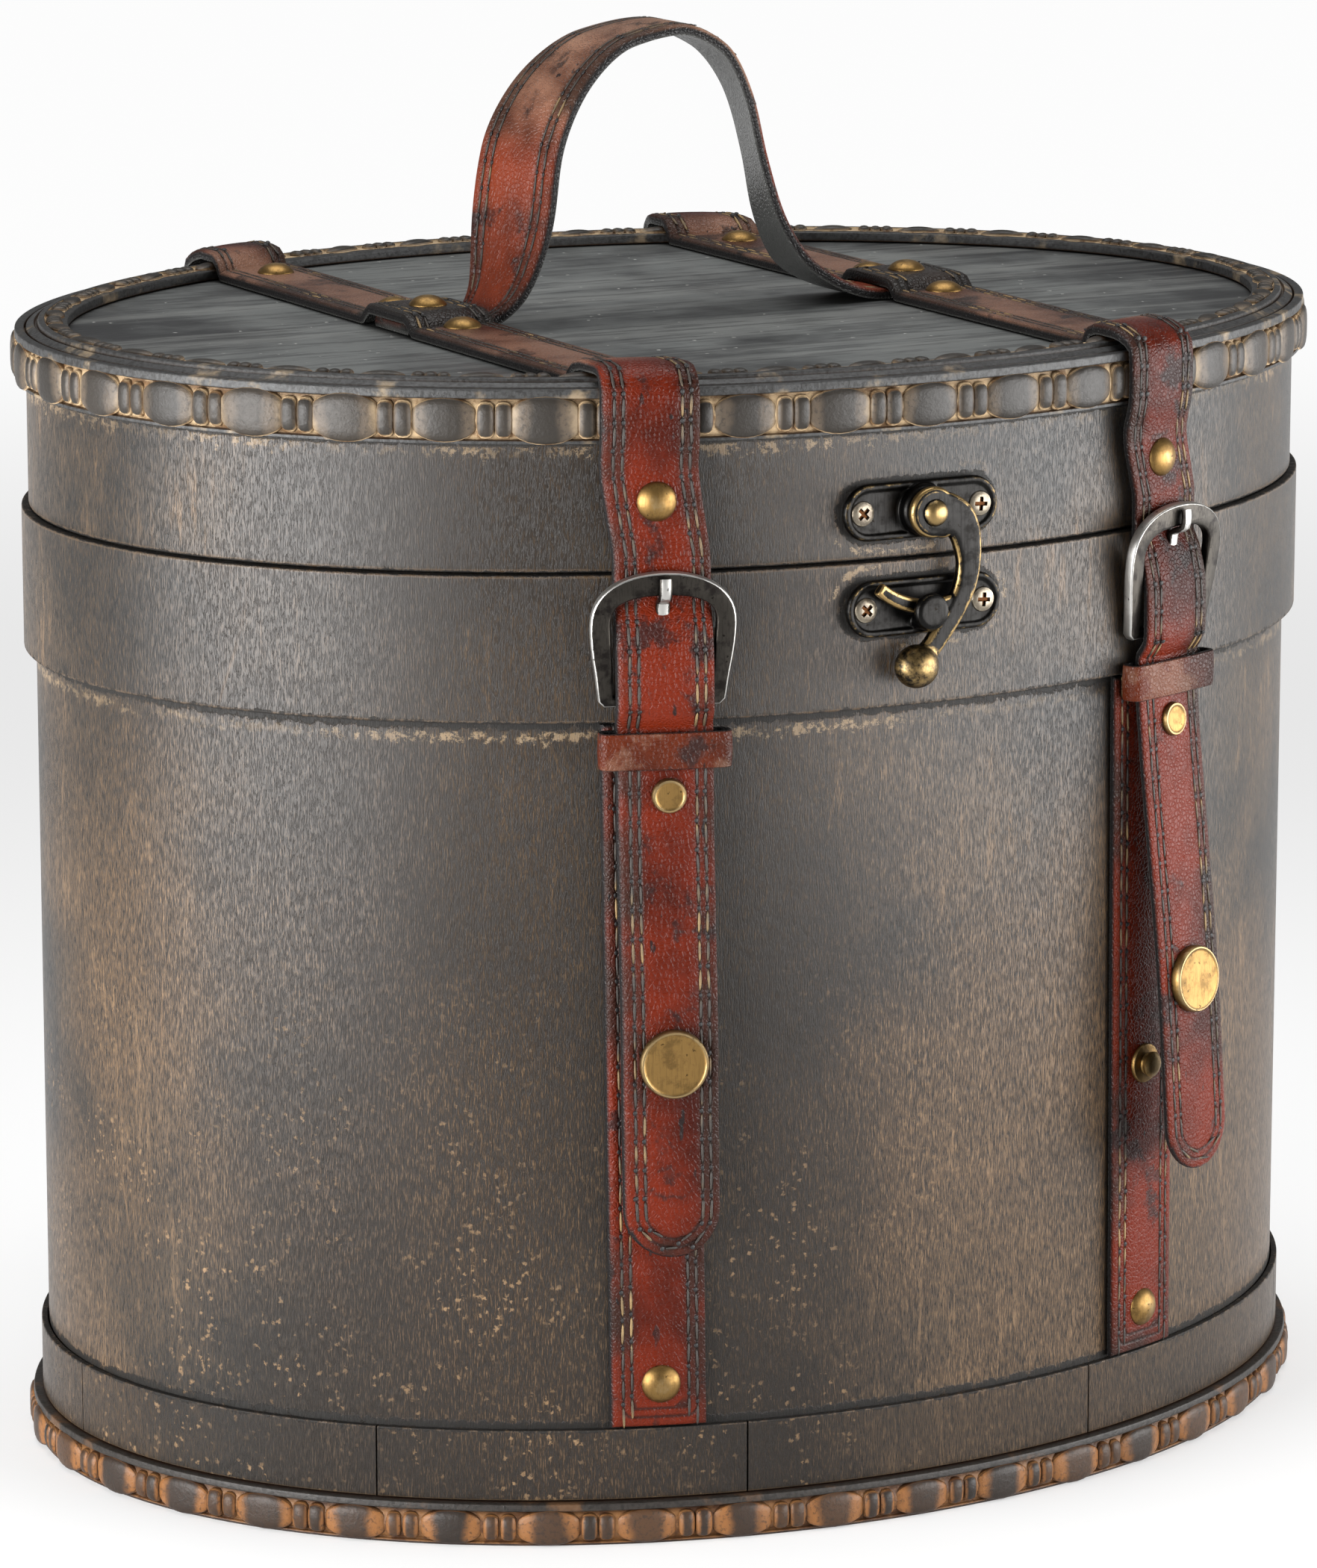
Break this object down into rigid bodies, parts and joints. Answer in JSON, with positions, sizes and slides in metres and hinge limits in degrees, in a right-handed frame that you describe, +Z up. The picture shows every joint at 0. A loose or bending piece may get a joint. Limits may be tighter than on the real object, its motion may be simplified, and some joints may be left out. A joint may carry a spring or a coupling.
{
  "type": "oval storage box",
  "caption": "Oval wooden storage box with carved rims, a hinged lid, buckled leather straps, a swing latch and a leather carrying handle.",
  "frame": {"origin": "middle of the oval base, on the plane that the box stands on", "axes": "+Z up, +X to the viewer's right along the oval's length, -Y towards the front with the latch"},
  "size_m": [0.3094, 0.2483, 0.3178],
  "materials": {
    "wall_wood": "dark stained wood with a fine upright grain, a satin sheen and pale worn edges",
    "panel_wood": "slate grey stained wood with streaks along its length and pale specks",
    "lid_moulding_wood": "carved dark wood with tan in the recesses",
    "base_moulding_wood": "carved orange-tan wood with dark recesses",
    "strap_leather": "aged reddish brown leather with stitched edges",
    "handle_leather": "pebbled red-brown leather, worn on the crown",
    "rivet_brass": "antique brass with dark patina and a bright rim",
    "latch_bronze": "blackened bronze with rubbed golden edges",
    "buckle_gunmetal": "gunmetal with bright worn edges",
    "screw_nickel": "dull nickel with a little rust"
  },
  "bodies": {
    "box_body": {"body_wall": "wall_wood", "bottom_panel": "wall_wood", "base_moulding": "base_moulding_wood", "base_band": "wall_wood", "collar_band": "wall_wood", "body_strap_left": "strap_leather", "body_strap_right": "strap_leather", "body_strap_rivet_left": "rivet_brass", "body_strap_rivet_right": "rivet_brass", "snap_stud_left": "rivet_brass", "snap_stud_right": "rivet_brass", "catch_plate": "latch_bronze", "catch_screw_left": "screw_nickel", "catch_screw_right": "screw_nickel", "hinge_lower_leaf_left": "rivet_brass", "hinge_lower_leaf_right": "rivet_brass", "hinge_pin_left": "rivet_brass", "hinge_pin_right": "rivet_brass"},
    "lid": {"lid_wall": "wall_wood", "top_panel": "panel_wood", "lid_side_moulding": "lid_moulding_wood", "top_moulding": "lid_moulding_wood", "lid_strap_left": "strap_leather", "lid_strap_right": "strap_leather", "lid_strap_rivet_left": "rivet_brass", "lid_strap_rivet_right": "rivet_brass", "handle": "handle_leather", "back_rivet_left": "rivet_brass", "back_rivet_right": "rivet_brass", "handle_rivet_left_back": "rivet_brass", "handle_rivet_left_middle": "rivet_brass", "handle_rivet_left_front": "rivet_brass", "handle_rivet_right_back": "rivet_brass", "handle_rivet_right_middle": "rivet_brass", "handle_rivet_right_front": "rivet_brass", "latch_plate": "latch_bronze", "latch_screw_left": "screw_nickel", "latch_screw_right": "screw_nickel", "latch_pivot": "latch_bronze", "hinge_upper_leaf_left": "rivet_brass", "hinge_upper_leaf_right": "rivet_brass"},
    "latch_hook": {"latch_hook": "latch_bronze"},
    "left_flap": {"strap_tail_left": "strap_leather", "buckle_frame_left": "buckle_gunmetal", "buckle_prong_left": "buckle_gunmetal", "keeper_left": "strap_leather", "tail_rivet_left": "rivet_brass", "snap_cap_left": "rivet_brass"},
    "right_flap": {"strap_tail_right": "strap_leather", "buckle_frame_right": "buckle_gunmetal", "buckle_prong_right": "buckle_gunmetal", "keeper_right": "strap_leather", "tail_rivet_right": "rivet_brass", "snap_cap_right": "rivet_brass"}
  },
  "joints": [
    {"name": "lid_hinge", "type": "hinge", "parent": "box_body", "child": "lid", "pos_m": [0, 0.1198, 0.215], "axis": [-1, 0, 0], "range_deg": [0, 100]},
    {"name": "latch_swing", "type": "hinge", "parent": "lid", "child": "latch_hook", "pos_m": [-0.0016, -0.1217, 0.2258], "axis": [0, -1, 0], "range_deg": [0, 100]},
    {"name": "left_flap_bend", "type": "hinge", "parent": "lid", "child": "left_flap", "pos_m": [-0.0629, -0.11075, 0.218], "axis": [-0.9444, 0.3288, 0], "range_deg": [0, 75]},
    {"name": "right_flap_bend", "type": "hinge", "parent": "lid", "child": "right_flap", "pos_m": [0.0629, -0.11075, 0.222], "axis": [-0.9444, -0.3288, 0], "range_deg": [0, 75]}
  ]
}
